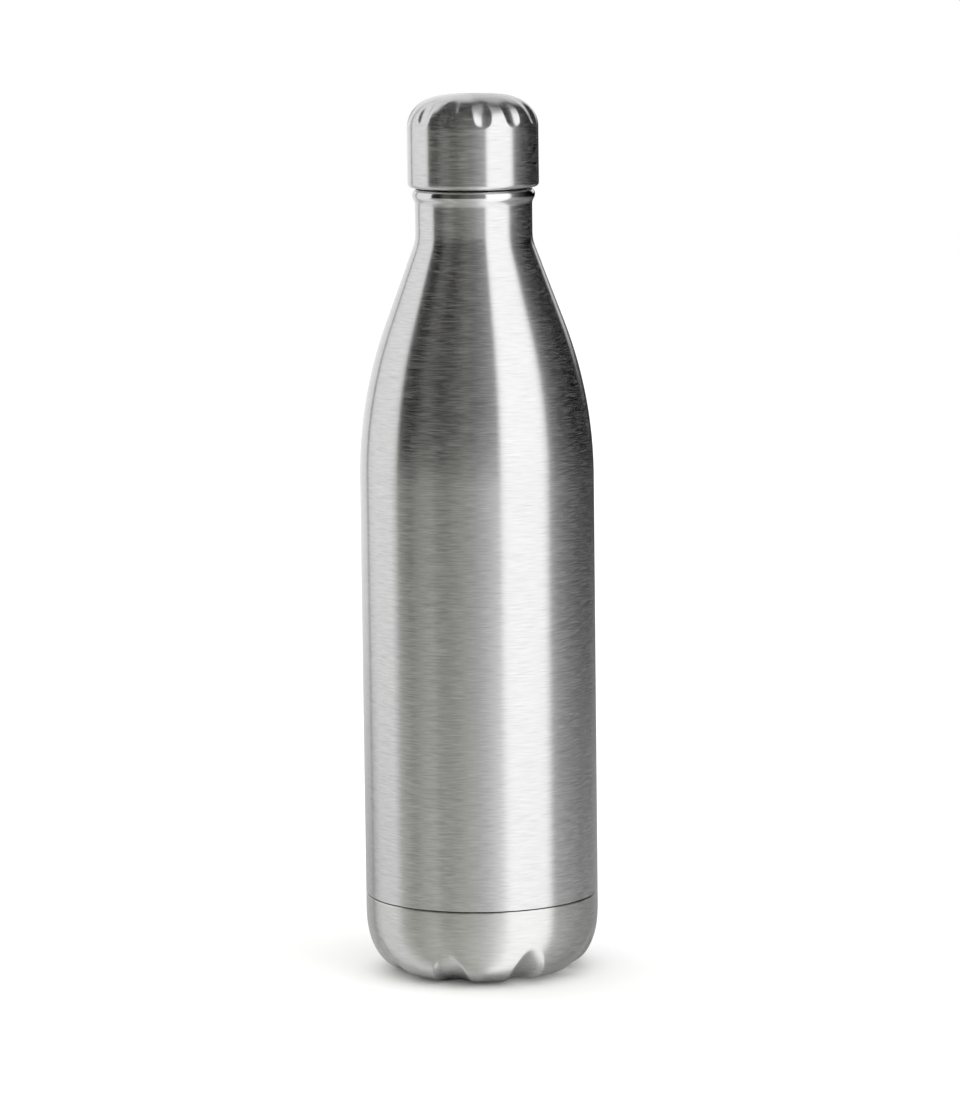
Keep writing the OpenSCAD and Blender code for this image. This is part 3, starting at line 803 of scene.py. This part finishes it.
# A painted shadow of the bottle on the table as the steel reflects it: the distances in metres where it
# starts to thin out and ends, what it leaves of the table's brightness on the left and on the right, and the
# angles between which the one becomes the other.
CONTACT = (0.026, 0.036)
CONTACT_DARK, CONTACT_LIT = 0.05, 0.5
CONTACT_TURN = (0.0, math.radians(45))
# The black cloth on the left is slightly warm: its tint, the angle of its middle and half its width.
WARM = (1.0, 1.0, 0.93)
WARM_MIDDLE, WARM_HALF = math.radians(-46), math.radians(40)
# Brightness overhead, the part of the room's brightness on the right that reaches there, the angles between
# which that part comes in, and the rises between which the room ends.
OVERHEAD_SEEN = 0.06
OVERHEAD_SPILL = 0.3
SPILL_TURN = (0.0, math.radians(25))
OVERHEAD_RISE = (0.79, 0.84)
# Soft lamp that only diffuse rays meet, so it lights the floor and the plastics but hardly the steel: the way
# to it, its brightness, and the cosines of the angles off that way where it ends and where it is full.
LAMP_WAY = (-0.10, -0.12, 0.99)
LAMP_LEVEL = 1.75
LAMP_EDGE = (0.42, 0.94)
# White paper behind the bottle, which the cap's top and the shoulder's rims reflect: its brightness low down
# and high up, the rises between which the one becomes the other, the angles to either side of the camera
# between which it starts, and the rises between which its lower edge starts and its upper edge ends.
PAPER_LEVEL, PAPER_TOP_LEVEL = 0.85, 0.62
PAPER_FOLD = (0.48, 0.54)
PAPER_SIDE = (math.radians(146), math.radians(154))
PAPER_FOOT, PAPER_TOP = (0.02, 0.05), (0.84, 0.80)
# Light added to the floor as the camera sees it, so that only the shadow close to the bottle shows.
FLOOR_LIFT = 0.06


def bearing(tree, direction):
    """Angle from the camera towards the right, in radians."""
    x, y, _ = add(tree, "ShaderNodeSeparateXYZ", {"Vector": direction}).outputs
    return maths(tree, "ARCTAN2", x, maths(tree, "MULTIPLY", y, -1.0))


def studio_chart(tree, azimuth, lean=1.0):
    """Sockets for the three levels of STUDIO and for its tint, at an angle from the camera."""
    upright = maths(tree, "DIVIDE", azimuth, lean)
    turn = maths(tree, "ADD", maths(tree, "DIVIDE", upright, 2 * math.pi), 0.5)
    chart = add(tree, "ShaderNodeValToRGB", {"Fac": turn})
    stops = chart.color_ramp.elements
    stops.remove(stops[-1])
    for i, (degrees, *levels) in enumerate(STUDIO):
        place = (degrees + 180) / 360
        stop = stops[0] if i == 0 else stops.new(place)
        stop.position = place
        stop.color = (*levels, 1)
    levels = add(tree, "ShaderNodeSeparateColor", {"Color": chart.outputs["Color"]}).outputs
    off_middle = maths(tree, "ABSOLUTE", maths(tree, "SUBTRACT", azimuth, WARM_MIDDLE))
    warmth = ramp(tree, off_middle, WARM_HALF * 1.1, WARM_HALF * 0.9)
    return levels, mixed_colour(tree, warmth, WHITE, (*WARM, 1))


def studio_world():
    """The studio as light from all round. The camera sees plain white behind the bottle."""
    world = bpy.data.worlds.new("studio")
    bpy.context.scene.world = world
    world.use_nodes = True
    tree = world.node_tree
    tree.nodes.clear()
    way = add(tree, "ShaderNodeTexCoord").outputs["Generated"]
    rise = add(tree, "ShaderNodeSeparateXYZ", {"Vector": way}).outputs[2]
    above = maths(tree, "MAXIMUM", rise, 0.0)
    lean = maths(tree, "ADD", maths(tree, "MULTIPLY", maths(tree, "MULTIPLY", above, above), LEAN), 1.0)
    azimuth = bearing(tree, way)
    (_, _, room), tint = studio_chart(tree, azimuth, lean)
    paths = add(tree, "ShaderNodeLightPath").outputs
    towards_lamp = add(tree, "ShaderNodeVectorMath", {0: way, 1: LAMP_WAY}, operation="DOT_PRODUCT")
    lamp = maths(tree, "MULTIPLY", ramp(tree, towards_lamp.outputs["Value"], *LAMP_EDGE), LAMP_LEVEL)
    lamp = maths(tree, "MULTIPLY", lamp, paths["Is Diffuse Ray"])
    to_right = ramp(tree, azimuth, *SPILL_TURN)
    spill = maths(tree, "MULTIPLY", maths(tree, "MULTIPLY", room, OVERHEAD_SPILL), to_right)
    roof = maths(tree, "ADD", OVERHEAD_SEEN, spill)
    light = mixed(tree, ramp(tree, rise, *OVERHEAD_RISE), room, roof)
    behind = ramp(tree, maths(tree, "ABSOLUTE", azimuth), *PAPER_SIDE)
    paper = mixed(tree, ramp(tree, rise, *PAPER_FOLD), PAPER_LEVEL, PAPER_TOP_LEVEL)
    paper = maths(tree, "MULTIPLY", paper, ramp(tree, rise, *PAPER_FOOT))
    paper = maths(tree, "MULTIPLY", paper, ramp(tree, rise, *PAPER_TOP))
    light = maths(tree, "MAXIMUM", light, maths(tree, "MULTIPLY", paper, behind))
    light = maths(tree, "ADD", light, lamp)
    strength = mixed(tree, paths["Is Camera Ray"], light, 1.0)
    colour = mixed_colour(tree, paths["Is Camera Ray"], tint, WHITE)
    background = add(tree, "ShaderNodeBackground", {"Color": colour, "Strength": strength})
    output = add(tree, "ShaderNodeOutputWorld")
    tree.links.new(background.outputs[0], output.inputs[0])


def studio_floor():
    """A wide pale table, plain to the camera; to the steel it glows with the painted light of STUDIO and a
    painted shadow close to the bottle.
    """
    mesh = bpy.data.meshes.new("floor")
    half = 3.0
    corners = [(-half, -half, 0), (half, -half, 0), (half, half, 0), (-half, half, 0)]
    mesh.from_pydata(corners, [], [(0, 1, 2, 3)])
    floor = bpy.data.objects.new("floor", mesh)
    bpy.context.collection.objects.link(floor)
    floor.location.z = cad_box[0][2]
    material, tree, shader = new_material("pale_table", (0.9, 0.9, 0.9), Roughness=0.9)
    shader.inputs["Specular IOR Level"].default_value = 0.0
    shader.inputs["Emission Color"].default_value = WHITE
    paths = add(tree, "ShaderNodeLightPath").outputs
    lift = maths(tree, "MULTIPLY", paths["Is Camera Ray"], FLOOR_LIFT)
    tree.links.new(lift, shader.inputs["Emission Strength"])
    incoming = add(tree, "ShaderNodeNewGeometry").outputs["Incoming"]
    way = add(tree, "ShaderNodeVectorMath", {0: incoming, "Scale": -1.0}, operation="SCALE").outputs[0]
    (near, far, room), tint = studio_chart(tree, bearing(tree, way))
    place = add(tree, "ShaderNodeTexCoord").outputs["Object"]
    distance = add(tree, "ShaderNodeVectorMath", {0: place}, operation="LENGTH").outputs["Value"]
    level = mixed(tree, ramp(tree, distance, TABLE_NEAR, TABLE_FAR, smooth=False), near, far)
    level = mixed(tree, ramp(tree, distance, TABLE_FAR, TABLE_END), level, room)
    # Painted shadow: the table's glow is darkened close to the bottle, more on the left than on the right.
    to_right = ramp(tree, bearing(tree, place), *CONTACT_TURN)
    shade = mixed(tree, to_right, CONTACT_DARK, CONTACT_LIT)
    level = maths(tree, "MULTIPLY", level, mixed(tree, ramp(tree, distance, *CONTACT), shade, 1.0))
    # Painted reflection: to glossy rays the table glows with the STUDIO levels instead of being lit.
    painted_table_glow = add(tree, "ShaderNodeEmission", {"Color": tint, "Strength": level})
    faces = {0: paths["Is Glossy Ray"], 1: shader.outputs[0], 2: painted_table_glow.outputs[0]}
    mix = add(tree, "ShaderNodeMixShader", faces)
    tree.links.new(mix.outputs[0], tree.nodes["Material Output"].inputs["Surface"])
    mesh.materials.append(material)


def photo_camera():
    """A long lens that looks slightly down, turned so that the bottle leans a little to the left."""
    distance, height = 1750, 389
    aim_x, aim_z = 0.77, 147.3
    roll = math.radians(0.71)
    focal_length, film_height, furthest = 167.6, 36, 50
    camera_data = bpy.data.cameras.new("camera")
    camera_data.sensor_fit = "VERTICAL"
    camera_data.sensor_height = film_height
    camera_data.lens = focal_length
    camera_data.clip_end = furthest
    camera = bpy.data.objects.new("camera", camera_data)
    bpy.context.collection.objects.link(camera)
    eye = Vector((0, -distance, height)) * MM
    forward = (Vector((aim_x, 0, aim_z)) * MM - eye).normalized()
    right = forward.cross(Vector((0, 0, 1))).normalized()
    up = right.cross(forward)
    up, right = up * math.cos(roll) + right * math.sin(roll), right * math.cos(roll) - up * math.sin(roll)
    axes = Matrix((right, up, -forward)).transposed().to_4x4()
    camera.matrix_world = Matrix.Translation(eye) @ axes
    bpy.context.scene.camera = camera


studio_world()
studio_floor()
photo_camera()
bpy.context.scene.view_settings.view_transform = "Standard"
